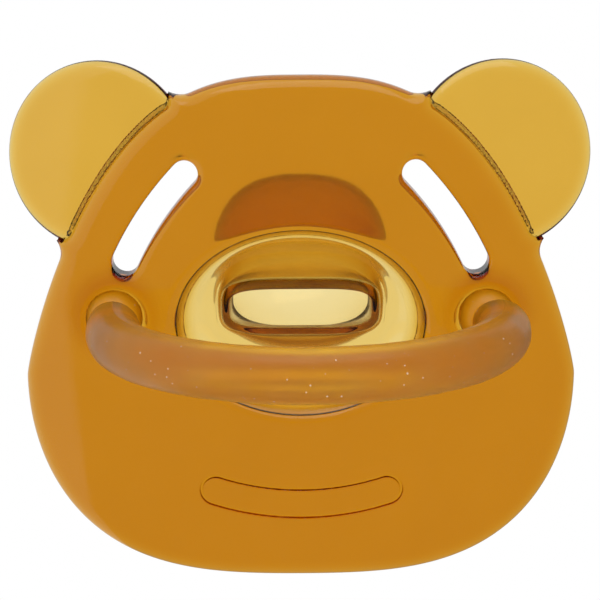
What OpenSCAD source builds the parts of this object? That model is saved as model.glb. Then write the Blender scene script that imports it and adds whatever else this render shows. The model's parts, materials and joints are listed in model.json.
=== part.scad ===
// Animal-shaped soft rubber pacifier: a domed head-shaped shield with two thinner round ears,
// a hollow one-piece teat whose flange closes the shield's central opening, and a half-ring
// handle that swings on two ball feet.
// +X is to the viewer's right, +Y points from the viewer towards the teat, +Z is up.
// The origin is at the bottom centre of the whole part.

/* [Shield] */
// Half the width of the head at its widest line
head_half_w = 27.4; // [26.8:0.1:28]
// Height of the widest line above the chin
widest_z = 20.65; // [20:0.05:21.5]
// Height of the head from the widest line to the crown
crown_h = 29.95; // [28.5:0.05:30.5]
// Thickness of the shield
shield_t = 3.5; // [3.2:0.1:4]
// Radius of the shield's domed front face
dome_r = 90; // [80:5:120]
// Height of the dome's axis
dome_z = 24; // [22:1:26]

/* [Ears] */
// Radius of an ear
ear_r = 9.15; // [8.5:0.05:9.5]
// Distance of an ear's centre from the middle
ear_x = 19.8; // [19.5:0.1:20.5]
// Height of an ear's centre
ear_z = 42.65; // [42:0.05:43.5]
// Thickness of an ear
ear_t = 2.1; // [1.8:0.1:2.4]
// How far an ear's front lies behind the shield's front
ear_setback = 0.8; // [0.5:0.1:1]

/* [Vent slots] */
// Width of a vent slot
vent_w = 2.65; // [2.5:0.05:3]
// Radius of the arc that a vent slot follows
vent_arc_r = 32; // [30:1:34]
// Place of that arc's centre, across from its slot and up
vent_arc_x = -11.8; // [-12:0.1:-11.6]
vent_arc_z = 19.1; // [18.8:0.1:19.4]
// Where the slot's centreline starts and ends on the arc, in degrees
vent_start = 25; // [24.6:0.1:26]
vent_end = 43.8; // [43:0.1:44.4]

/* [Dish] */
// Half width and half height of the central opening, seen from the front as a dish
dish_half_w = 13.4; // [13:0.1:13.8]
dish_half_h = 10.35; // [10:0.05:10.6]
// Height of the dish's centre
dish_z = 26.7; // [26.4:0.1:27]

/* [Mouth line] */
// Length of the mouth's outline along its middle, between the end circles
mouth_len = 17.2; // [16:0.1:18]
// Width of the mouth's outline
mouth_w = 3; // [2.6:0.1:3.2]
// Radius that the mouth is bent to
mouth_bend_r = 28; // [26:1:32]
// Height of the mouth's lowest point on its middle line
mouth_z = 8.3; // [7.8:0.1:8.8]
// Width and depth of the groove that draws the outline
mouth_line_w = 0.3; // [0.2:0.05:0.4]
mouth_line_d = 0.4; // [0.2:0.05:0.4]

/* [Teat] */
// Thickness of the flange that is held behind the shield's opening
flange_t = 1.25; // [1.1:0.05:1.4]
// How far the flange reaches under the shield around the opening
flange_lap = 1; // [0.8:0.1:1]
// How far the bowl of the dish sinks below the flange
bowl_depth = 2.15; // [1.8:0.05:2.4]
// Half width and half height of the bowl's level floor
floor_half_w = 9.6; // [9.2:0.1:10]
floor_half_h = 5.4; // [5:0.1:5.8]
// Thickness of the rubber at the bowl's floor
floor_t = 1.2; // [1:0.05:1.4]
// Half width and half height of the flat neck, outside
neck_half_w = 7.8; // [7.6:0.1:8]
neck_half_h = 2.7; // [2.6:0.05:2.9]
// Height of the neck's centre
neck_z = 27.5; // [27.2:0.1:27.8]
// Half width and half height of the bulb, outside
bulb_half_w = 9; // [8.7:0.1:9.3]
bulb_half_h = 8.7; // [8.3:0.1:9]
// How far the bulb's centre lies above the neck's centre
bulb_rise = 2; // [1:0.1:2.4]
// Distance from the shield's back to the fullest part of the bulb
bulb_mid = 17; // [16:0.5:18]
// Length of the teat behind the shield
teat_len = 27.5; // [27:0.5:29]
// Wall thickness of the neck and of the bulb
neck_wall = 0.85; // [0.8:0.05:1]
bulb_wall = 0.8; // [0.75:0.05:1.1]

/* [Handle] */
// Half the distance between the handle's two ball feet
foot_x = 18.4; // [18.2:0.1:18.5]
// Height of the ball feet
foot_z = 26.9; // [26.5:0.1:27.2]
// Radius of a ball foot
foot_r = 2.8; // [2.7:0.05:2.9]
// Depth of a ball foot's centre behind the shield's front face
foot_depth = 1.55; // [1.45:0.05:1.7]
// Radial clearance between a ball foot and its seat
foot_gap = 0.05; // [0.03:0.01:0.08]
// Radius of the bow's centreline
bow_r = 18.85; // [18.8:0.05:19]
// Radius of the round bar
bar_r = 2.6; // [2.5:0.05:2.7]
// Angle by which the straight legs lean outwards
leg_lean = 5; // [4:0.5:6]

/* [Hidden] */
$fn = 96;

// Exponents of the head's outline: across, up above the widest line, and down below it
across_up_exp = 2.87;
up_exp = 1.19;
across_down_exp = 3.3;
down_exp = 2.05;
outline_step = 3;

// The mouth of a foot's seat is a cone from the ball's centre, and the bar's root is a
// narrower one: their difference leaves the handle its swing
seat_cone = 64;
root_cone = 36;
boss_side_wall = 0.85;
boss_back_wall = 1.2;

// The bow starts where a leaning leg meets its circle without a kink
leg_end_x = bow_r * cos(leg_lean);
leg_len = (leg_end_x - foot_x) / sin(leg_lean);
bow_centre = leg_len * cos(leg_lean) + bow_r * sin(leg_lean);
// Each leg is a little thinner than the bow and ends inside it
leg_r = bar_r - 0.05;
leg_overlap = 0.6;
root_len = leg_r / tan(root_cone);

// How far the shield's front face falls back at the feet
foot_sag = dome_r - sqrt(dome_r * dome_r - foot_x * foot_x - (foot_z - dome_z) * (foot_z - dome_z));
foot_back = foot_sag + foot_depth;

// Depths below the dome, at the front of the flange and at the front and back of the floor
flange_front = shield_t - flange_t;
floor_front = flange_front + bowl_depth;
floor_back = floor_front + floor_t;
// The bowl starts this far inside the opening, and its back this far outside
bowl_ledge = 0.25;
bowl_side_wall = 0.1;

// The whole part is centred between the bow's front and the teat's tip
front_reach = bow_centre + bow_r + bar_r - foot_back;
back_reach = shield_t + teat_len;
apex_y = (front_reach - back_reach) / 2;
foot_y = apex_y + foot_back;
teat_y = apex_y + shield_t;

module seen_from_front() {
    rotate([90, 0, 0])
        translate([0, 0, -25])
            linear_extrude(50)
                children();
}

// The part of a prism that lies between two depths under the domed front face
module domed_layer(from, to) {
    intersection() {
        difference() {
            translate([0, apex_y + dome_r, dome_z]) sphere(dome_r - from, $fn = 180);
            translate([0, apex_y + dome_r, dome_z]) sphere(dome_r - to, $fn = 180);
        }
        seen_from_front() children();
    }
}

function signed_power(v, p) = sign(v) * pow(abs(v), p);

function head_point(a) = sin(a) >= 0
    ? [head_half_w * signed_power(cos(a), 2 / across_up_exp),
       widest_z + crown_h * signed_power(sin(a), 2 / up_exp)]
    : [head_half_w * signed_power(cos(a), 2 / across_down_exp),
       widest_z + widest_z * signed_power(sin(a), 2 / down_exp)];

module head_outline() {
    polygon([for (a = [0 : outline_step : 359]) head_point(a)]);
}

module oval(half_w, half_h) {
    polygon([for (a = [0 : outline_step * 2 : 359]) [half_w * cos(a), half_h * sin(a)]]);
}

function arc_points(centre, r, from, to, steps) = [
    for (i = [1 : steps])
        let (a = from + (to - from) * i / steps)
            centre + r * [cos(a), sin(a)]
];

// A slot of one width that follows an arc about the origin, with round ends
module arc_slot(r, width, start, end) {
    polygon(concat(
        arc_points([0, 0], r + width / 2, start, end, 10),
        arc_points(r * [cos(end), sin(end)], width / 2, end, end + 180, 12),
        arc_points([0, 0], r - width / 2, end, start, 10),
        arc_points(r * [cos(start), sin(start)], width / 2, start - 180, start, 12)
    ));
}

module vent_slot() {
    translate([vent_arc_x, vent_arc_z])
        arc_slot(vent_arc_r, vent_w, vent_start, vent_end);
}

module mouth_shape(width) {
    half_angle = mouth_len / 2 / mouth_bend_r * 180 / PI;
    translate([0, mouth_z + mouth_bend_r])
        arc_slot(mouth_bend_r, width, 270 - half_angle, 270 + half_angle);
}

module both_feet() {
    for (side = [-1, 1])
        translate([side * foot_x, foot_y, foot_z])
            children();
}

// The seat for a ball foot, open to the front through its cone
module foot_seat() {
    sphere(foot_r + foot_gap);
    rotate([90, 0, 0])
        cylinder(h = foot_depth + 2, r1 = 0, r2 = (foot_depth + 2) * tan(seat_cone));
}

// The boss on the shield's back that holds the rear half of a seat
module foot_boss() {
    side_r = foot_r + boss_side_wall;
    back = foot_r + boss_back_wall;
    rotate([-90, 0, 0])
        rotate_extrude()
            polygon([[0, 0], [side_r, 0], [side_r, back * 0.5], [side_r * 0.75, back], [0, back]]);
}

module shield() {
    color([0.78, 0.5, 0.1]) {
        difference() {
            union() {
                domed_layer(0, shield_t) head_outline();
                both_feet() foot_boss();
            }
            seen_from_front() vent_slot();
            mirror([1, 0, 0]) seen_from_front() vent_slot();
            seen_from_front() translate([0, dish_z]) oval(dish_half_w, dish_half_h);
            domed_layer(flange_front, shield_t + 1)
                translate([0, dish_z]) oval(dish_half_w + flange_lap, dish_half_h + flange_lap);
            both_feet() foot_seat();
            domed_layer(-1, mouth_line_d) difference() {
                mouth_shape(mouth_w + mouth_line_w);
                mouth_shape(mouth_w - mouth_line_w);
            }
        }
    }
}

module ear(side) {
    color([0.88, 0.68, 0.2])
        domed_layer(ear_setback, ear_setback + ear_t) difference() {
            translate([side * ear_x, ear_z]) circle(ear_r);
            head_outline();
        }
}

module left_ear() {
    ear(-1);
}

module right_ear() {
    ear(1);
}

function sag(x, z) = dome_r - sqrt(dome_r * dome_r - x * x - (z - dome_z) * (z - dome_z));

// A closed skin over rings of equal length, with a fan of triangles at each end
module skin(rings) {
    count = len(rings[0]);
    rows = len(rings);
    first_middle = rows * count;
    last_middle = first_middle + 1;
    points = concat(
        [for (ring = rings) each ring],
        [ring_middle(rings[0]), ring_middle(rings[rows - 1])]
    );
    sides = [
        for (row = [0 : rows - 2], k = [0 : count - 1])
            let (here = row * count, next = (k + 1) % count)
                each [[here + k, here + next, here + count + next],
                      [here + k, here + count + next, here + count + k]]
    ];
    ends = [
        for (k = [0 : count - 1])
            let (next = (k + 1) % count, last = (rows - 1) * count)
                each [[next, k, first_middle], [last + k, last + next, last_middle]]
    ];
    polyhedron(points, concat(sides, ends));
}

function ring_middle(ring) =
    let (total = [for (point = ring) 1] * ring)
        total / len(ring);

// Rings of the bowl, from the opening's edge (turn 0) to its level floor (turn 90)
ring_step = 7.5;
bowl_turns = [0, 15, 30, 45, 60, 75, 90];
function bowl_ring(turn, outset, depth) =
    let (
        share = 1 - cos(turn),
        half_w = dish_half_w * (1 - share) + floor_half_w * share + outset,
        half_h = dish_half_h * (1 - share) + floor_half_h * share + outset,
        middle = dish_z * (1 - share) + neck_z * share
    ) [
        for (a = [0 : ring_step : 359])
            let (x = half_w * cos(a), z = middle + half_h * sin(a))
                [x, apex_y + sag(x, z) + depth, z]
    ];

module bowl_form(outset, from, to) {
    skin(concat(
        [bowl_ring(0, outset, from - 1)],
        [for (turn = bowl_turns) bowl_ring(turn, outset, from + (to - from) * sin(turn))]
    ));
}

// Rings of the teat's outside, or of its hollow where the insets are the wall's thickness.
// t runs from 0 at the bowl's floor to 1 at the fullest part, and on to 2 at the tip.
neck_share = 0.25;
ring_times = [0, 0.12, 0.25, 0.35, 0.45, 0.55, 0.65, 0.75, 0.85, 1,
              1.1, 1.2, 1.3, 1.4, 1.5, 1.6, 1.7, 1.8, 1.88, 1.95, 1.99];
function ease(t) = t * t * (3 - 2 * t);
function swell(t) = ease(max(0, min(1, (t - neck_share) / (1 - neck_share))));
function ring_size(t, neck, bulb) =
    t < 1 ? neck + (bulb - neck) * swell(t) : bulb * cos((t - 1) * 90);
function ring_y(t, start, tip) =
    t < 1 ? start + (bulb_mid - start) * t : bulb_mid + (tip - bulb_mid) * sin((t - 1) * 90);
function teat_ring(t, inset_neck, inset_bulb, start) =
    let (
        power = 2 / (4 - 1.5 * swell(t)),
        half_w = ring_size(t, neck_half_w - inset_neck, bulb_half_w - inset_bulb),
        half_h = ring_size(t, neck_half_h - inset_neck, bulb_half_h - inset_bulb),
        y = teat_y + ring_y(t, start, teat_len - inset_bulb)
    ) [
        for (a = [0 : ring_step : 359])
            [half_w * signed_power(cos(a), power), y,
             neck_z + bulb_rise * swell(t) + half_h * signed_power(sin(a), power)]
    ];

module teat_form(inset_neck, inset_bulb, start) {
    skin([for (t = ring_times) teat_ring(t, inset_neck, inset_bulb, start)]);
}

module teat() {
    color([0.9, 0.75, 0.35])
        difference() {
            union() {
                domed_layer(flange_front, shield_t)
                    translate([0, dish_z]) oval(dish_half_w + flange_lap, dish_half_h + flange_lap);
                bowl_form(bowl_side_wall, shield_t - 0.3, floor_back);
                teat_form(0, 0, floor_back - shield_t - floor_t / 2);
            }
            bowl_form(-bowl_ledge, flange_front, floor_front);
            teat_form(neck_wall, bulb_wall, floor_front - shield_t - 1);
        }
}

module half_handle() {
    translate([foot_x, foot_y, foot_z]) {
        sphere(foot_r);
        rotate([90, 0, leg_lean]) {
            cylinder(h = root_len, r1 = 0, r2 = leg_r);
            translate([0, 0, root_len])
                cylinder(h = leg_len + leg_overlap - root_len, r = leg_r);
        }
    }
}

module handle() {
    color([0.8, 0.52, 0.25]) {
        half_handle();
        mirror([1, 0, 0]) half_handle();
        translate([0, foot_y - bow_centre, foot_z])
            rotate([0, 0, 180 - leg_lean])
                rotate_extrude(angle = 180 + 2 * leg_lean)
                    translate([bow_r, 0])
                        circle(bar_r, $fn = 48);
    }
}

shield();
left_ear();
right_ear();
teat();
handle();
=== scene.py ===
import json
import math

import bpy
import numpy as np
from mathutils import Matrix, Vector


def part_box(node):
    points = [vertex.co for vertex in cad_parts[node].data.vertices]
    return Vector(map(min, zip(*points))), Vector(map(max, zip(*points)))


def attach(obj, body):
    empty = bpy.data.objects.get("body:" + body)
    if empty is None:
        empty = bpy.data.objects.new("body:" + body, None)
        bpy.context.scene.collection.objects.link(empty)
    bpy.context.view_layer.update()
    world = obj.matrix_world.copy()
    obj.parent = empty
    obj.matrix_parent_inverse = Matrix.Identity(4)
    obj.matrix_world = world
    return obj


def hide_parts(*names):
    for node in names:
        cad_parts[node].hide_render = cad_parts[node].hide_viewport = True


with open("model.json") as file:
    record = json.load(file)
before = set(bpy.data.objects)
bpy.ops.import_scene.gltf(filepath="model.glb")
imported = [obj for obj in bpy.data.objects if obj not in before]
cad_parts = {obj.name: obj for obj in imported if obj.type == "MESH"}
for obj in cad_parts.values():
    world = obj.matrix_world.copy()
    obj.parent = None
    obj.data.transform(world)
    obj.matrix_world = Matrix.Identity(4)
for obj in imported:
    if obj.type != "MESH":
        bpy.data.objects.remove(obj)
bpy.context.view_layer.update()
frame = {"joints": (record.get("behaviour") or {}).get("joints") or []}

# ---------------------------------------------------------------- measures
# Lengths are in millimetres until a mesh is made, in the CAD's frame.
MM = 0.001
swing = frame["joints"][0]
foot_y = swing["pos_m"][1] / MM
foot_z = swing["pos_m"][2] / MM
teat_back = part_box("teat")[1][1] / MM

# Head: its outline is widest at WIDEST_Z, and its crown is CROWN_H above that. The outline's
# exponents are across and upright, first above the widest line and then below it.
HEAD_HALF_W = 27.4
WIDEST_Z = 20.65
CROWN_H = 29.95
ACROSS_UP, UP = 2.87, 1.19
ACROSS_DOWN, DOWN = 3.3, 2.05
SHIELD_T = 3.5
DOME_R, DOME_Z = 90.0, 24.0
HEAD_RIM = 1.5

# Ears: thinner than the head, set back from its face, and joined to it by webs in the notches.
# In front the seam is SEAM_IN inside the head's outline, and it leans outwards going back, at
# SEAM_SLOPE to the face.
EAR_R = 9.15
EAR_X = 19.8
EAR_Z = 42.65
EAR_FRONT, EAR_T = 0.8, 2.1
EAR_RIM = 1.5
NOTCH_R = 1.9
EAR_CORNER = 1.1
SEAM_IN, SEAM_SLOPE = 0.17, math.radians(80)

# Vents: slots along an arc
VENT_W, VENT_R = 2.65, 32.0
VENT_X, VENT_Z = -11.8, 19.1
VENT_START, VENT_END = math.radians(25), math.radians(43.8)
VENT_LIP = 0.75

# Dish, neck and bulb: half widths and half heights. The opening's edge is rounded to radius
# SHOULDER, its wall is THROAT inside the rim, and the bowl's floor lies between two depths.
DISH_W, DISH_H, DISH_Z = 13.4, 10.35, 26.7
SHOULDER, THROAT = 1.3, 1.18
FLOOR_FRONT, FLOOR_BACK = 4.4, 5.6
NECK_W, NECK_H, NECK_Z = 7.8, 2.7, 27.5
NECK_WALL, BULB_WALL = 0.8, 0.65
NECK_END_W, NECK_END_H, NECK_END_RISE = 7.5, 3.9, 0.4
BULB_W, BULB_H, BULB_RISE, BULB_MID = 9.0, 8.7, 2.0, 17.0

# The closed line near the chin
MOUTH_LEN, MOUTH_W, MOUTH_R, MOUTH_Z = 17.2, 3.0, 28.0, 8.3
LINE_W, LINE_D, LINE_LIP = 0.3, 0.45, 0.06

# Handle: ball feet in flared seats, then tapered roots into a bar along a bow
FOOT_X, FOOT_R, FOOT_GAP, FOOT_DEPTH = 18.4, 2.8, 0.05, 1.55
ROOT_CONE = math.radians(36)
SEAT_FLARE, SEAT_LIP = math.radians(12), 0.5
BOSS_R, BOSS_RISE = 5.6, 1.9
BAR_R, BOW_R, LEAN = 2.6, 18.85, math.radians(5)
SIDE_LEAN = 0.75

# Depth to which the ears reach into the shield that they are bonded to
BOND = 0.04


def sag(x, z):
    """How far the domed face falls back from its apex."""
    return DOME_R - np.sqrt(np.maximum(DOME_R**2 - x * x - (z - DOME_Z) ** 2, 1.0))


APEX_Y = foot_y - FOOT_DEPTH - float(sag(FOOT_X, foot_z))
TEAT_Y = APEX_Y + SHIELD_T
TEAT_LEN = teat_back - TEAT_Y


# ---------------------------------------------------------------- fields
# A field is negative inside a form, positive outside, and close to a distance near its surface.
def round_union(a, b, r):
    both = np.hypot(np.maximum(r - a, 0), np.maximum(r - b, 0))
    return np.maximum(r, np.minimum(a, b)) - both


def round_cut(a, b, r):
    """Form a with form b taken away, and the lip between them rounded to radius r."""
    both = np.hypot(np.maximum(r + a, 0), np.maximum(r - b, 0))
    return np.minimum(-r, np.maximum(a, -b)) + both


def round_common(a, b, r):
    return round_cut(a, -b, r)


def ellipse_field(x, z, half_w, half_h):
    near = np.hypot(x / half_w, z / half_h)
    slope = np.hypot(x / half_w**2, z / half_h**2)
    return near * (near - 1) / np.maximum(slope, 1e-6)


def head_implicit(x, z):
    """The head's outline as an implicit curve, with its gradient."""
    up = z >= WIDEST_Z
    p = np.where(up, ACROSS_UP, ACROSS_DOWN)
    q = np.where(up, UP, DOWN)
    b = np.where(up, CROWN_H, WIDEST_Z)
    u = np.abs(x) / HEAD_HALF_W
    v = np.maximum(np.abs(z - WIDEST_Z) / b, 1e-9)
    value = u**p + v**q - 1
    along_x = p * u ** (p - 1) / HEAD_HALF_W * np.sign(x)
    along_z = q * v ** (q - 1) / b * np.sign(z - WIDEST_Z)
    return value, along_x, along_z


# Where the head's implicit value is below this, its field is only the number DEEP_INSIDE
NEAR_OUTLINE, DEEP_INSIDE = -0.45, -6.0


def head_field(x, z):
    """Distance to the head's outline, exact near it and only a large number deep inside."""
    value, _, _ = head_implicit(x, z)
    near = value > NEAR_OUTLINE
    far = np.full(np.shape(x), DEEP_INSIDE)
    px, pz = x[near], z[near]
    qx, qz = px.copy(), pz.copy()
    for _ in range(7):
        f, gx, gz = head_implicit(qx, qz)
        length = np.maximum(np.hypot(gx, gz), 1e-6)
        nx, nz = gx / length, gz / length
        step = np.clip(f / length, -3, 3)
        qx, qz = qx - step * nx, qz - step * nz
        slide = np.clip((pz - qz) * nx - (px - qx) * nz, -2, 2) * 0.8
        qx, qz = qx - slide * nz, qz + slide * nx
    f, gx, gz = head_implicit(qx, qz)
    length = np.maximum(np.hypot(gx, gz), 1e-6)
    away = ((px - qx) * gx + (pz - qz) * gz) / length + f / length
    far[near] = np.maximum(away, DEEP_INSIDE)
    return far


def plate_field(outline, depth, front, back, rim, rise):
    """A plate whose edge is rounded over rim inwards and rise down from each face."""
    face = np.abs(depth - (front + back) / 2) - (back - front) / 2
    u = outline / rim + 1
    v = face / rise + 1
    edge = np.hypot(np.maximum(u, 0), np.maximum(v, 0)) - 1
    return (edge + np.minimum(np.maximum(u, v), 0)) * min(rim, rise)


def ear_circle(x, z):
    return np.hypot(np.abs(x) - EAR_X, z - EAR_Z) - EAR_R


def shield_outline(x, z):
    """The head with the thick webs that fill the notches beside the ears."""
    head = head_field(x, z)
    circle = ear_circle(x, z)
    joined = round_union(head, circle, NOTCH_R)
    pale = round_cut(circle, head, EAR_CORNER)
    web = np.maximum(joined, -pale)
    return np.minimum(head, web)


def arc_field(x, z, r, start, end):
    """Distance to an arc about the origin."""
    turn = np.clip(np.arctan2(z, x), start, end)
    return np.hypot(x - r * np.cos(turn), z - r * np.sin(turn))


def vent_field(x, z):
    return arc_field(np.abs(x) - VENT_X, z - VENT_Z, VENT_R, VENT_START, VENT_END) - VENT_W / 2


def mouth_field(x, z):
    """Distance to the closed line of the mouth."""
    half = MOUTH_LEN / 2 / MOUTH_R
    from_top = MOUTH_Z + MOUTH_R - z
    line = arc_field(from_top, x, MOUTH_R, -half, half)
    return np.abs(line - MOUTH_W / 2)


def ear_plate(x, z, d):
    """The rounded ear, with the part of it that the head covers."""
    return plate_field(ear_circle(x, z), d, EAR_FRONT, EAR_FRONT + EAR_T, EAR_RIM, EAR_T / 2)


def ear_root(x, z, d):
    """The shield's wedge that an ear is bonded to, sloping outwards and back from the seam."""
    across, back = math.sin(SEAM_SLOPE), math.cos(SEAM_SLOPE)
    slope = (head_field(x, z) + SEAM_IN) * across - (d - EAR_FRONT) * back
    return np.maximum(ear_plate(x, z, d), slope)


def shield_field(x, z, d):
    y = APEX_Y + sag(x, z) + d
    away = np.hypot(np.abs(x) - FOOT_X, z - foot_z)
    behind = y - foot_y
    # The back swells smoothly behind each seat
    swell = BOSS_RISE * np.cos(np.minimum(away / BOSS_R, 1) * math.pi / 2) ** 2
    middle = SHIELD_T / 2
    deep = np.where(d > middle, middle + (d - middle) * SHIELD_T / (SHIELD_T + 2 * swell), d)
    body = plate_field(shield_outline(x, z), deep, 0, SHIELD_T, HEAD_RIM, HEAD_RIM)
    body = np.minimum(body, ear_root(x, z, d))
    body = round_cut(body, vent_field(x, z), VENT_LIP)
    rim = ellipse_field(x, z - DISH_Z, DISH_W - SHOULDER, DISH_H - SHOULDER)
    throat = ellipse_field(x, z - DISH_Z, DISH_W - THROAT, DISH_H - THROAT)
    body = np.maximum(np.maximum(body, -throat), round_common(-rim, -d, SHOULDER))
    seat_r = FOOT_R + FOOT_GAP
    ball = np.hypot(away, behind) - seat_r
    flare = away * math.cos(SEAT_FLARE) + behind * math.sin(SEAT_FLARE) - seat_r
    flare = np.maximum(flare, behind + seat_r * math.sin(SEAT_FLARE))
    body = round_cut(body, np.minimum(ball, flare), SEAT_LIP)
    groove = np.hypot(mouth_field(x, z) * 2 / LINE_W, d / LINE_D) - 1
    return round_cut(body, groove * LINE_W / 2, LINE_LIP)


def ear_field(x, z, d):
    """An ear's pale part, which reaches BOND into the head and its wedge."""
    head = plate_field(shield_outline(x, z), d, 0, SHIELD_T, HEAD_RIM, HEAD_RIM)
    return np.maximum(ear_plate(x, z, d), -BOND - np.minimum(head, ear_root(x, z, d)))


# ---------------------------------------------------------------- meshing
def spaced(*stops):
    """Grid lines from (edge, step), (edge, step), ..., edge."""
    lines = []
    for (start, step), stop in zip(stops[:-1], [s[0] for s in stops[1:-1]] + [stops[-1]]):
        count = max(1, round((stop - start) / step))
        lines.append(np.linspace(start, stop, count, endpoint=False))
    return np.concatenate(lines + [[stops[-1]]])


def cell_corners(values, offset):
    i, j, k = offset
    n, m, o = values.shape
    return values[i : n - 1 + i, j : m - 1 + j, k : o - 1 + k]


def surface(field, lines):
    """Quads on the zero surface of a field, one point for every grid cell that it crosses."""
    grid = np.meshgrid(*lines, indexing="ij")
    values = field(*grid)
    inside = values < 0
    offsets = [(i, j, k) for i in (0, 1) for j in (0, 1) for k in (0, 1)]
    filled = sum(cell_corners(inside, o).astype(np.int8) for o in offsets)
    mixed = (filled > 0) & (filled < 8)
    cells = np.argwhere(mixed)
    number = np.full(mixed.shape, -1)
    number[mixed] = np.arange(len(cells))
    total = np.zeros((len(cells), 3))
    hits = np.zeros(len(cells))
    for axis in range(3):
        step = [0, 0, 0]
        step[axis] = 1
        for start in offsets:
            if start[axis]:
                continue
            a = cells + start
            b = a + step
            va = values[tuple(a.T)]
            vb = values[tuple(b.T)]
            cross = (va < 0) != (vb < 0)
            t = np.where(cross, va / np.where(cross, va - vb, 1), 0)[:, None]
            pa = np.stack([lines[n][a[:, n]] for n in range(3)], 1)
            pb = np.stack([lines[n][b[:, n]] for n in range(3)], 1)
            total += np.where(cross[:, None], pa + t * (pb - pa), 0)
            hits += cross
    points = total / hits[:, None]
    quads = []
    for axis in range(3):
        others = [n for n in range(3) if n != axis]
        low = [slice(1, -1)] * 3
        high = [slice(1, -1)] * 3
        low[axis] = slice(0, -1)
        high[axis] = slice(1, None)
        first = inside[tuple(low)]
        last = inside[tuple(high)]
        where = np.argwhere(first != last)
        flip = first[tuple(where.T)]
        quad = []
        for u, v in ((0, 0), (1, 0), (1, 1), (0, 1)):
            cell = where.copy()
            cell[:, others[0]] += u
            cell[:, others[1]] += v
            quad.append(number[tuple(cell.T)])
        quad = np.stack(quad, 1)
        if axis == 1:
            flip = ~flip
        quad[flip] = quad[flip][:, ::-1]
        quads.append(quad)
    return points, np.concatenate(quads)


# Settling: share of the way to the neighbours' mean, the probe for a slope, the least squared
# slope that is trusted, and the longest step
EVEN, PROBE, LEAST_SLOPE, LONGEST = 0.5, 0.01, 0.05, 0.2


def settle(field, points, quads, rounds=4):
    """Evens out the points and brings them onto the surface."""
    edges = np.concatenate([quads[:, [0, 1]], quads[:, [1, 2]], quads[:, [2, 3]], quads[:, [3, 0]]])
    edges = np.concatenate([edges, edges[:, ::-1]])
    count = np.bincount(edges[:, 0], minlength=len(points))[:, None]
    for turn in range(rounds + 2):
        if turn < rounds:
            mean = np.stack([
                np.bincount(edges[:, 0], weights=points[edges[:, 1], n], minlength=len(points))
                for n in range(3)
            ], 1) / count
            points = points + (mean - points) * EVEN
        for _ in range(2):
            value = field(*points.T)
            slope = np.stack([
                (field(*(points + PROBE * np.eye(3)[n]).T) - value) / PROBE for n in range(3)
            ], 1)
            length = np.maximum((slope**2).sum(1), LEAST_SLOPE)
            step = np.clip(value / length, -LONGEST, LONGEST)[:, None] * slope
            points = points - step
    return points


def domed(points):
    """Points (x, z, depth) under the dome, as x, y, z."""
    x, z, d = points.T
    return np.stack([x, APEX_Y + sag(x, z) + d, z], 1)


def inside_out(points, quads):
    """Whether the quads of a closed form face its inside."""
    a, b, c = points[quads[:, 0]], points[quads[:, 1]], points[quads[:, 2]]
    return np.einsum("ij,ij->i", a, np.cross(b, c)).sum() < 0


def make_piece(name, points, faces, body, node, slot, material):
    """A closed smooth mesh in metres that stands for a CAD node."""
    mesh = bpy.data.meshes.new(name)
    mesh.from_pydata((points * MM).tolist(), [], faces)
    mesh.update()
    mesh.validate()
    mesh.shade_smooth()
    piece = bpy.data.objects.new(name, mesh)
    bpy.context.scene.collection.objects.link(piece)
    mesh.materials.append(material)
    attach(piece, body)
    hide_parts(node)
    return piece


def quad_mesh(name, points, quads, *rest):
    """A piece of quads that all face outwards."""
    if inside_out(points, quads):
        quads = quads[:, ::-1]
    return make_piece(name, points, quads.tolist(), *rest)


def skin_quads(rows, count):
    """Quads between neighbouring rings of one length."""
    row, k = np.meshgrid(np.arange(rows - 1), np.arange(count), indexing="ij")
    here = row * count
    after = (k + 1) % count
    quads = np.stack([here + k, here + after, here + count + after, here + count + k], -1)
    return quads.reshape(-1, 4)


def capped_mesh(name, rings, first, last, *rest):
    """A skin over rings, with a fan of triangles round a point at each end."""
    rows, count, _ = rings.shape
    points = np.concatenate([rings.reshape(-1, 3), [first, last]])
    quads = skin_quads(rows, count)
    k = np.arange(count)
    after = (k + 1) % count
    top = np.full(count, rows * count)
    end = (rows - 1) * count
    fans = np.concatenate([
        np.stack([after, k, top], 1),
        np.stack([end + k, end + after, top + 1], 1),
    ])
    faces = [*quads.tolist(), *fans.tolist()]
    if inside_out(points, quads):
        faces = [face[::-1] for face in faces]
    return make_piece(name, points, faces, *rest)


def mark_matt(piece, values):
    """Keeps how matt each point of a mesh is, for its rubber."""
    layer = piece.data.attributes.new("matt", "FLOAT", "POINT")
    layer.data.foreach_set("value", values.astype(np.float32))


# ---------------------------------------------------------------- teat
def signed_power(v, p):
    return np.sign(v) * np.abs(v) ** p


def ease(t):
    t = np.clip(t, 0, 1)
    return t * t * (3 - 2 * t)


# A ring's exponent is 2 for an ellipse and more for a squarer oval: it falls along the neck and
# rises a little in the bulb
NECK_POWER, POWER_FALL, POWER_RISE = 4, 1.8, 0.3
# Share of the way to the bulb's widest ring at which the neck ends
NECK_SHARE = 0.2
# The neck is matt, and over MATT_FADE of the way on from its end that falls to BULB_MATT
BULB_MATT, MATT_FADE = 0.15, 0.12


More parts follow.
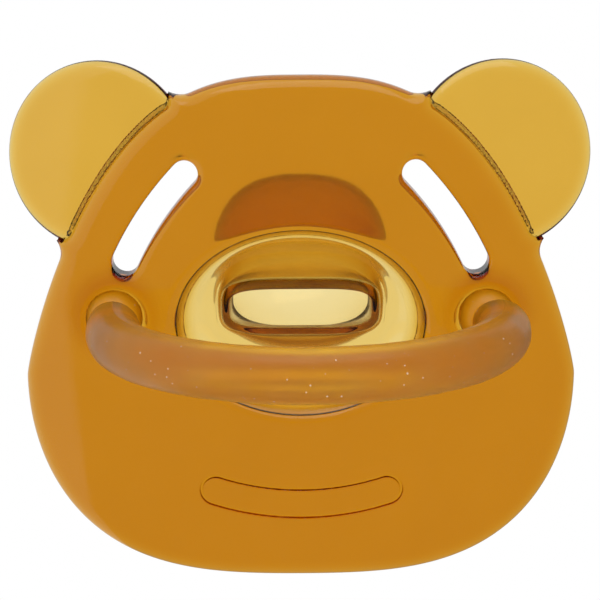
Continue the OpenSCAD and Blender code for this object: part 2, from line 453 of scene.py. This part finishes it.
def bulb_station(t, inset_neck, inset_bulb, start):
    """One ring of the neck and bulb: t is 1 at the bulb's widest ring, and 2 at its tip.

    A ring is its half width, half height, middle, exponent, depth, share of the dome's sag
    and mattness.
    """
    neck_end = NECK_SHARE + inset_bulb / (BULB_MID - start)
    before = min(t / neck_end, 1) ** 2
    past = max(t - neck_end, 0) / (1 - neck_end)
    swell = math.sqrt(1 - (1 - min(past, 1)) ** 2)
    tip = TEAT_LEN - inset_bulb
    if t < 1:
        half_w = NECK_W + (NECK_END_W - NECK_W) * before - inset_neck
        half_h = NECK_H + (NECK_END_H - NECK_H) * before - inset_neck
        half_w += (BULB_W - inset_bulb - half_w) * swell
        half_h += (BULB_H - inset_bulb - half_h) * swell
        back = start + (BULB_MID - start) * t
    else:
        turn = (t - 1) * math.pi / 2
        half_w = (BULB_W - inset_bulb) * math.cos(turn)
        half_h = (BULB_H - inset_bulb) * math.cos(turn)
        back = BULB_MID + (tip - BULB_MID) * math.sin(turn)
    middle = NECK_Z + NECK_END_RISE * before + (BULB_RISE - NECK_END_RISE) * swell
    power = NECK_POWER - POWER_FALL * before + POWER_RISE * swell
    matt = 1 - (1 - BULB_MATT) * float(ease(past / MATT_FADE))
    return [half_w, half_h, middle, power, SHIELD_T + back, 0, matt]


# Distance inside the rim from which the bowl's rings are centred on the neck
FLOOR_IN = 4.6


def cup_station(inset, depth):
    """One ring of the bowl, at a distance inside the opening's rim."""
    u = np.clip((inset - THROAT) / (FLOOR_IN - THROAT), 0, 1)
    middle = DISH_Z + (NECK_Z - DISH_Z) * u
    return [DISH_W - inset, DISH_H - inset, middle, 2 + 0.6 * u * u, depth, 1 - 0.5 * u, 0]


# The bowl's front from its floor up to the lip that laps over the shield's shoulder, then the
# bonded wall, then the bowl's back: distance inside the rim, and depth
CUP = (
    (4.8, 4.4), (4.2, 4.28), (3.6, 4.0), (3.1, 3.6), (2.65, 3.08), (2.25, 2.5), (1.9, 1.92),
    (1.6, 1.42), (1.36, 1.02), (1.18, 0.73), (1.1, 0.64), (1.07, 0.64), (1.06, 0.75), (1.06, 1.8),
    (1.06, 2.8), (1.06, 3.35), (1.1, 3.5), (1.35, 3.56), (1.7, 3.7), (2.1, 3.98), (2.6, 4.42),
    (3.1, 4.85), (3.6, 5.2), (4.1, 5.42), (4.6, 5.54), (5.0, 5.6),
)


# Where the neck and bulb have rings: closest together where the neck opens and at the tip
TIMES = (
    0.06, 0.1, 0.14, 0.17, 0.2, 0.22, 0.25, 0.29, 0.35, 0.42, 0.48, 0.55, 0.63, 0.72, 0.81, 0.9, 1,
    1.1, 1.2, 1.3, 1.4, 1.5, 1.6, 1.7, 1.8, 1.88, 1.93, 1.97, 1.995,
)


def teat_stations():
    """Control rings from the hollow's tip to the front, over the bowl, and back to the tip."""
    start = FLOOR_FRONT - SHIELD_T
    stations = [bulb_station(t, NECK_WALL, BULB_WALL, start) for t in TIMES[::-1]]
    inner_w, inner_h = NECK_W - NECK_WALL, NECK_H - NECK_WALL
    stations += [
        [inner_w, inner_h, NECK_Z, NECK_POWER, FLOOR_FRONT + 0.75, 0.1, 1],
        [inner_w, inner_h, NECK_Z, NECK_POWER, FLOOR_FRONT + 0.3, 0.2, 1],
        [inner_w + 0.08, inner_h + 0.08, NECK_Z, NECK_POWER, FLOOR_FRONT, 0.3, 0.4],
        [inner_w + 0.3, inner_h + 0.3, NECK_Z, 3.8, FLOOR_FRONT - 0.06, 0.35, 0],
        [inner_w + 0.7, inner_h + 0.9, NECK_Z, 3.4, FLOOR_FRONT, 0.4, 0],
    ]
    stations += [cup_station(inset, depth) for inset, depth in CUP]
    stations += [
        [NECK_W + 0.6, NECK_H + 0.8, NECK_Z, 3.4, FLOOR_BACK, 0.4, 0],
        [NECK_W + 0.25, NECK_H + 0.25, NECK_Z, 3.8, FLOOR_BACK + 0.03, 0.3, 0],
        [NECK_W + 0.03, NECK_H + 0.03, NECK_Z, NECK_POWER, FLOOR_BACK + 0.2, 0.2, 0.5],
    ]
    stations += [bulb_station(t, 0, 0, start) for t in TIMES]
    return np.array(stations)


def cut_corners(rows, rounds):
    """Chaikin's corner cutting of an open control polygon, with its ends kept."""
    for _ in range(rounds):
        near = rows[:-1] * 0.75 + rows[1:] * 0.25
        far = rows[:-1] * 0.25 + rows[1:] * 0.75
        mixed = np.stack([near, far], 1).reshape(-1, rows.shape[1])
        rows = np.concatenate([rows[:1], mixed, rows[-1:]])
    return rows


def teat_rings(count=192):
    """The teat's rings, and how matt each of them is."""
    rows = cut_corners(teat_stations(), 2)
    turn = np.arange(count) * 2 * math.pi / count
    half_w, half_h, middle, power, depth, share, matt = (rows[:, n][:, None] for n in range(7))
    x = half_w * signed_power(np.cos(turn), 2 / power)
    z = middle + half_h * signed_power(np.sin(turn), 2 / power)
    y = APEX_Y + depth + share * sag(x, z)
    return np.stack([x, y, z], -1), matt[:, 0]


# ---------------------------------------------------------------- handle
def blend_least(a, b, span):
    """The smaller of two values, with a smooth change over where they differ by less than span."""
    near = np.maximum(span - np.abs(a - b), 0) / span
    return np.minimum(a, b) - near * near * span / 4


def uneven(s, *waves):
    """A repeatable irregular rise and fall along a length, between 0 and 1."""
    total = sum(np.sin(s * rate + start) for rate, start in waves)
    return 0.5 + 0.5 * total / len(waves)


# Distances from a foot's middle along the handle: where its lean to the side starts and the
# length that it takes, where the ball gives way to the root, where the flash and the unevenness
# start and the length that they take, and where the rough flash near the feet ends and the
# length before that in which it fades
LEAN_FROM, LEAN_OVER = 1.5, 4.5
BALL_TO = 1.4
CLEAR_FROM, CLEAR_OVER = 2.6, 1.5
ROUGH_TO, ROUGH_OVER = 11, 5
# Spans over which the root turns into the bar, and the ball into the root
BAR_BLEND, BALL_BLEND = 1.2, 0.5
# How strongly the points of a ring gather at its top and bottom
GATHER = 0.42
# The flash stands this high underneath, up to so much more near the feet, and on top
FLASH_UNDER, FLASH_ROUGH, FLASH_OVER = 0.045, 0.14, 0.04
FLASH_UNDER_WIDE, FLASH_OVER_WIDE = 0.06, 0.05


def ridge(theta, at, wide):
    """A bump round the bar at one angle, 1 at its top."""
    off = (theta - at + math.pi) % (2 * math.pi) - math.pi
    return np.exp(-((off / wide) ** 2))


def handle_rings(step=0.16, count=112):
    """Rings along the handle from one ball foot to the other, with the mould's flash on them."""
    leg_end_x = BOW_R * math.cos(LEAN)
    leg_len = (leg_end_x - FOOT_X) / math.sin(LEAN)
    bow_back = leg_len * math.cos(LEAN) + BOW_R * math.sin(LEAN)
    bow_len = BOW_R * (math.pi + 2 * LEAN)
    total = 2 * leg_len + bow_len
    pole = np.sin(np.linspace(-math.pi / 2, 0, 16))[1:] * FOOT_R
    s = np.concatenate([pole, np.linspace(0, total, round(total / step))[1:-1], total - pole[::-1]])
    turn = LEAN - np.clip(s - leg_len, 0, bow_len) / BOW_R
    short = leg_len - np.minimum(s, leg_len)
    past = np.maximum(s - leg_len - bow_len, 0)
    ahead = np.stack([np.sin(turn), -np.cos(turn)], 1)
    centre = np.stack([BOW_R * np.cos(turn), foot_y - bow_back + BOW_R * np.sin(turn)], 1)
    centre += ahead * (past - short)[:, None]
    from_foot = np.minimum(s, total - s)
    centre[:, 0] += SIDE_LEAN * ease((from_foot - LEAN_FROM) / LEAN_OVER)

    ball = np.sqrt(np.maximum(FOOT_R**2 - from_foot**2, 0))
    root = np.maximum(from_foot, 0) * math.tan(ROOT_CONE)
    bar = blend_least(root, BAR_R, BAR_BLEND)
    radius = np.where(from_foot < BALL_TO, ball, -blend_least(-ball, -bar, BALL_BLEND))

    # Points gather at the top and bottom, where the flash is
    even = np.arange(count) * 2 * math.pi / count
    theta = even + GATHER * np.sin(2 * even)
    along = s[:, None]
    clear = ease((from_foot[:, None] - CLEAR_FROM) / CLEAR_OVER)
    at_ends = ease((ROUGH_TO - from_foot) / ROUGH_OVER)[:, None] * clear
    ragged = uneven(along, (2.1, 0.4), (3.7, 1.7), (5.3, 2.1)) ** 2
    under = ridge(theta, -math.pi / 2, FLASH_UNDER_WIDE)
    over = ridge(theta, math.pi / 2, FLASH_OVER_WIDE)
    flash = clear * (FLASH_UNDER + FLASH_ROUGH * at_ends * ragged) * under
    flash = flash + clear * FLASH_OVER * over
    wavy = 0.012 * np.sin(along * 0.9 + 2 * theta) + 0.008 * np.sin(along * 2.3 - 3 * theta)
    ring_r = radius[:, None] + flash + clear * wavy
    x = centre[:, :1] + np.cos(turn)[:, None] * ring_r * np.cos(theta)
    y = centre[:, 1:] + np.sin(turn)[:, None] * ring_r * np.cos(theta)
    z = foot_z + ring_r * np.sin(theta)
    tips = []
    for end, sign in ((0, -1), (-1, 1)):
        beyond = FOOT_R - math.sqrt(max(FOOT_R**2 - radius[end] ** 2, 0))
        tip = centre[end] + sign * ahead[end] * beyond
        tips.append(np.array([tip[0], tip[1], foot_z]))
    return np.stack([x, y, z], -1), tips[0], tips[1]


# ---------------------------------------------------------------- materials
def socket(shader, name, value):
    shader.inputs[name].default_value = value


# Sizes in millimetres of the clouds, of the patches of gloss outside and in the matt neck, of
# the dust's spacing and of its drifts
CLOUD, PATCH, MATT_PATCH, DUST, DRIFT = 7.0, 2.2, 1.7, 0.9, 3.1
RUBBER_IOR = 1.5
DUST_SIZE = 0.13
DUST_COLOUR = (1, 0.86, 0.62, 1)
DUST_THROUGH = 0.6


def rubber(name, tint, density, base, rough, grain_mm, bump, transmission, back_rough=None,
           specks=False):
    """Translucent rubber: colour from absorption, cloudy base, uneven gloss and a fine grain."""
    material = bpy.data.materials.new(name)
    material.use_nodes = True
    tree = material.node_tree
    shader = tree.nodes["Principled BSDF"]
    output = tree.nodes["Material Output"]
    socket(shader, "Transmission Weight", transmission)
    socket(shader, "IOR", RUBBER_IOR)
    where = tree.nodes.new("ShaderNodeTexCoord")

    def noise(size_mm, detail=3.0):
        node = tree.nodes.new("ShaderNodeTexNoise")
        node.inputs["Scale"].default_value = 1 / (size_mm * MM)
        node.inputs["Detail"].default_value = detail
        tree.links.new(where.outputs["Object"], node.inputs["Vector"])
        return node.outputs["Fac"]

    def spread(value, low, high):
        node = tree.nodes.new("ShaderNodeMapRange")
        node.inputs["From Min"].default_value = 0.3
        node.inputs["From Max"].default_value = 0.7
        node.inputs["To Min"].default_value = low
        node.inputs["To Max"].default_value = high
        tree.links.new(value, node.inputs["Value"])
        return node.outputs["Result"]

    cloud = tree.nodes.new("ShaderNodeMix")
    cloud.data_type = "RGBA"
    tree.links.new(spread(noise(CLOUD), 0, 1), cloud.inputs["Factor"])
    cloud.inputs["A"].default_value = (*base[0], 1)
    cloud.inputs["B"].default_value = (*base[1], 1)
    colour = cloud.outputs["Result"]
    if specks:
        # Fine pale dust, in drifts
        cells = tree.nodes.new("ShaderNodeTexVoronoi")
        cells.inputs["Scale"].default_value = 1 / (DUST * MM)
        tree.links.new(where.outputs["Object"], cells.inputs["Vector"])
        size = spread(noise(DRIFT), 0.0, DUST_SIZE)
        dot = tree.nodes.new("ShaderNodeMath")
        dot.operation = "LESS_THAN"
        tree.links.new(cells.outputs["Distance"], dot.inputs[0])
        tree.links.new(size, dot.inputs[1])
        dusted = tree.nodes.new("ShaderNodeMix")
        dusted.data_type = "RGBA"
        tree.links.new(dot.outputs["Value"], dusted.inputs["Factor"])
        tree.links.new(colour, dusted.inputs["A"])
        dusted.inputs["B"].default_value = DUST_COLOUR
        colour = dusted.outputs["Result"]
        through = tree.nodes.new("ShaderNodeMapRange")
        through.inputs["To Min"].default_value = transmission
        through.inputs["To Max"].default_value = transmission * DUST_THROUGH
        tree.links.new(dot.outputs["Value"], through.inputs["Value"])
        tree.links.new(through.outputs["Result"], shader.inputs["Transmission Weight"])
    tree.links.new(colour, shader.inputs["Base Color"])
    gloss = spread(noise(PATCH), *rough)
    if back_rough:
        # The mould leaves the neck matt, and the bulb a little
        matt = tree.nodes.new("ShaderNodeAttribute")
        matt.attribute_name = "matt"
        both = tree.nodes.new("ShaderNodeMix")
        tree.links.new(matt.outputs["Fac"], both.inputs["Factor"])
        tree.links.new(gloss, both.inputs["A"])
        tree.links.new(spread(noise(MATT_PATCH), *back_rough), both.inputs["B"])
        gloss = both.outputs["Result"]
    tree.links.new(gloss, shader.inputs["Roughness"])
    relief = tree.nodes.new("ShaderNodeBump")
    relief.inputs["Strength"].default_value = bump
    relief.inputs["Distance"].default_value = grain_mm * MM * 0.1
    tree.links.new(noise(grain_mm, 2.0), relief.inputs["Height"])
    tree.links.new(relief.outputs["Normal"], shader.inputs["Normal"])
    absorb = tree.nodes.new("ShaderNodeVolumeAbsorption")
    socket(absorb, "Color", (*tint, 1))
    socket(absorb, "Density", density)
    tree.links.new(absorb.outputs["Volume"], output.inputs["Volume"])
    return material


# Absorption per metre is the density times 1 - AMBER, channel by channel
AMBER, AMBER_DENSITY, FROST_DENSITY = (0.90, 0.727, 0.033), 1500, 430
CLEAR = ((1, 0.99, 0.97), (0.97, 0.95, 0.9))
FROSTED = ((1.0, 0.72, 0.04), (1.0, 0.65, 0.02))
GLOSSY, MATT, SATIN = (0.05, 0.10), (0.4, 0.5), (0.29, 0.4)
# Grain in millimetres, bump and transmission
SMOOTH, FROST = (1.2, 0.04, 1.0), (0.5, 0.3, 0.88)
shield_rubber = rubber("amber_shield", AMBER, AMBER_DENSITY, CLEAR, GLOSSY, *SMOOTH)
ear_rubber = rubber("amber_ear", AMBER, AMBER_DENSITY, CLEAR, GLOSSY, *SMOOTH)
teat_rubber = rubber("amber_teat", AMBER, AMBER_DENSITY, CLEAR, GLOSSY, *SMOOTH, back_rough=MATT)
handle_rubber = rubber("frosted_handle", AMBER, FROST_DENSITY, FROSTED, SATIN, *FROST, specks=True)
socket(handle_rubber.node_tree.nodes["Principled BSDF"], "Specular IOR Level", 0.2)

# ---------------------------------------------------------------- pieces
# The shield's grid is finer at the line near the chin: across at its two ends, and upright at
# its height
WIDE, FINE_X, FINE_Z = 0.3, 0.13, 0.11
shield_lines = (
    spaced((-28.2, WIDE), (-10.5, FINE_X), (-7.8, WIDE), (7.8, FINE_X), (10.5, WIDE), 28.2),
    spaced((-0.6, WIDE), (6.2, FINE_Z), (11.6, WIDE), 51.0),
    spaced((-0.6, 0.15), (3.9, 0.25), 7.2),
)
points, quads = surface(shield_field, shield_lines)
points = settle(shield_field, points, quads)
points = domed(points)
quad_mesh("shield_moulding", points, quads, "shield_body", "shield", "shield_rubber", shield_rubber)

MARGIN, EAR_WIDE = 0.5, 0.25
ear_lines = (
    spaced((EAR_X - EAR_R - MARGIN, EAR_WIDE), EAR_X + EAR_R + MARGIN),
    spaced((EAR_Z - EAR_R - MARGIN, EAR_WIDE), EAR_Z + EAR_R + MARGIN),
    spaced((EAR_FRONT - 0.7, 0.14), EAR_FRONT + EAR_T + MARGIN),
)
points, quads = surface(ear_field, ear_lines)
points = settle(ear_field, points, quads)
points = domed(points)
mirrored = points * [-1, 1, 1]
quad_mesh("right_ear_web", points, quads, "shield_body", "right_ear", "ear_rubber", ear_rubber)
quad_mesh("left_ear_web", mirrored, quads, "shield_body", "left_ear", "ear_rubber", ear_rubber)

rings, matt = teat_rings()
first = rings[0].mean(0)
last = rings[-1].mean(0)
teat = capped_mesh("teat_moulding", rings, first, last, "shield_body", "teat", "teat_rubber", teat_rubber)
mark_matt(teat, np.append(np.repeat(matt, rings.shape[1]), [1, 1]))

rings, first, last = handle_rings()
capped_mesh("handle_ring", rings, first, last, "handle_body", "handle", "handle_rubber", handle_rubber)


# ---------------------------------------------------------------- studio
# Surfaces mirror a bright studio wall from this angle left of the camera's side
LIT_FROM = math.radians(35)
LIT_SHIFT = -22 * MM
LIT_EDGE = 0.02


def dim_in_mirror(tree, coordinate, shift, seen, mirrored, lit):
    """A brightness for what is seen or seen through, and two for what surfaces mirror.

    Mirrored light is lit on the left, and mirrored, which is dimmer, elsewhere.
    """
    source = tree.nodes.new("ShaderNodeTexCoord")
    moved = tree.nodes.new("ShaderNodeVectorMath")
    moved.operation = "SUBTRACT"
    moved.inputs[1].default_value = (shift, 0, 0)
    tree.links.new(source.outputs[coordinate], moved.inputs[0])
    direction = tree.nodes.new("ShaderNodeVectorMath")
    direction.operation = "NORMALIZE"
    tree.links.new(moved.outputs["Vector"], direction.inputs[0])
    left = tree.nodes.new("ShaderNodeVectorMath")
    left.operation = "DOT_PRODUCT"
    left.inputs[1].default_value = (-math.cos(LIT_FROM), math.sin(LIT_FROM), 0)
    tree.links.new(direction.outputs["Vector"], left.inputs[0])
    side = tree.nodes.new("ShaderNodeMapRange")
    side.interpolation_type = "SMOOTHSTEP"
    side.inputs["From Min"].default_value = -LIT_EDGE
    side.inputs["From Max"].default_value = LIT_EDGE
    side.inputs["To Min"].default_value = mirrored
    side.inputs["To Max"].default_value = lit
    tree.links.new(left.outputs["Value"], side.inputs["Value"])
    path = tree.nodes.new("ShaderNodeLightPath")
    mirror = tree.nodes.new("ShaderNodeMath")
    mirror.operation = "SUBTRACT"
    mirror.use_clamp = True
    tree.links.new(path.outputs["Is Glossy Ray"], mirror.inputs[0])
    tree.links.new(path.outputs["Is Transmission Ray"], mirror.inputs[1])
    level = tree.nodes.new("ShaderNodeMapRange")
    level.inputs["To Min"].default_value = seen
    tree.links.new(side.outputs["Result"], level.inputs["To Max"])
    tree.links.new(mirror.outputs["Value"], level.inputs["Value"])
    return level.outputs["Result"]


def studio_material(name, seen, mirrored, lit):
    material = bpy.data.materials.new(name)
    material.use_nodes = True
    tree = material.node_tree
    tree.nodes.remove(tree.nodes["Principled BSDF"])
    light = tree.nodes.new("ShaderNodeEmission")
    tree.links.new(dim_in_mirror(tree, "Object", LIT_SHIFT, seen, mirrored, lit), light.inputs["Strength"])
    tree.links.new(light.outputs["Emission"], tree.nodes["Material Output"].inputs["Surface"])
    return material


SEEN, MIRRORED, LIT = 1.0, 0.15, 0.6
FLOOR_HALF, FLOOR_Z = 6.0, -0.00002
floor_mesh = bpy.data.meshes.new("floor")
corners = ((-1, -1), (1, -1), (1, 1), (-1, 1))
floor_points = [(x * FLOOR_HALF, y * FLOOR_HALF, FLOOR_Z) for x, y in corners]
floor_mesh.from_pydata(floor_points, [], [(0, 1, 2, 3)])
floor = bpy.data.objects.new("floor", floor_mesh)
bpy.context.scene.collection.objects.link(floor)
floor_mesh.materials.append(studio_material("floor_paper", SEEN, MIRRORED, LIT))

world = bpy.data.worlds.new("studio")
bpy.context.scene.world = world
world.use_nodes = True
tree = world.node_tree
background = tree.nodes["Background"]
background.inputs["Color"].default_value = (1, 1, 1, 1)
tree.links.new(dim_in_mirror(tree, "Generated", 0, SEEN, MIRRORED, LIT), background.inputs["Strength"])


def softbox(name, place, aim, size, power):
    lamp = bpy.data.lights.new(name, "AREA")
    lamp.shape = "RECTANGLE"
    lamp.size, lamp.size_y = size
    lamp.energy = power
    holder = bpy.data.objects.new(name, lamp)
    bpy.context.scene.collection.objects.link(holder)
    holder.location = place
    direction = np.array(aim) - np.array(place)
    holder.rotation_euler = Vector(direction).to_track_quat("-Z", "Y").to_euler()


softbox("top_softbox", (0.05, -0.1, 0.7), (0, 0, 0.03), (0.6, 0.4), 0.8)

# ---------------------------------------------------------------- camera
ELEVATION = math.radians(12)
AIM = (-0.05 * MM, (APEX_Y + 4.27) * MM, 28.4 * MM)
DISTANCE = 0.25
VIEW_W = 0.05945
ROLL = math.radians(-0.28)
SENSOR = 36
lens = bpy.data.cameras.new("camera")
lens.sensor_width = SENSOR
lens.lens = SENSOR * DISTANCE / VIEW_W
camera = bpy.data.objects.new("camera", lens)
bpy.context.scene.collection.objects.link(camera)
camera.location = (
    AIM[0],
    AIM[1] - DISTANCE * math.cos(ELEVATION),
    AIM[2] + DISTANCE * math.sin(ELEVATION),
)
camera.rotation_mode = "ZYX"
camera.rotation_euler = (math.pi / 2 - ELEVATION, 0, ROLL)
bpy.context.scene.camera = camera
bpy.context.scene.view_settings.view_transform = "Standard"
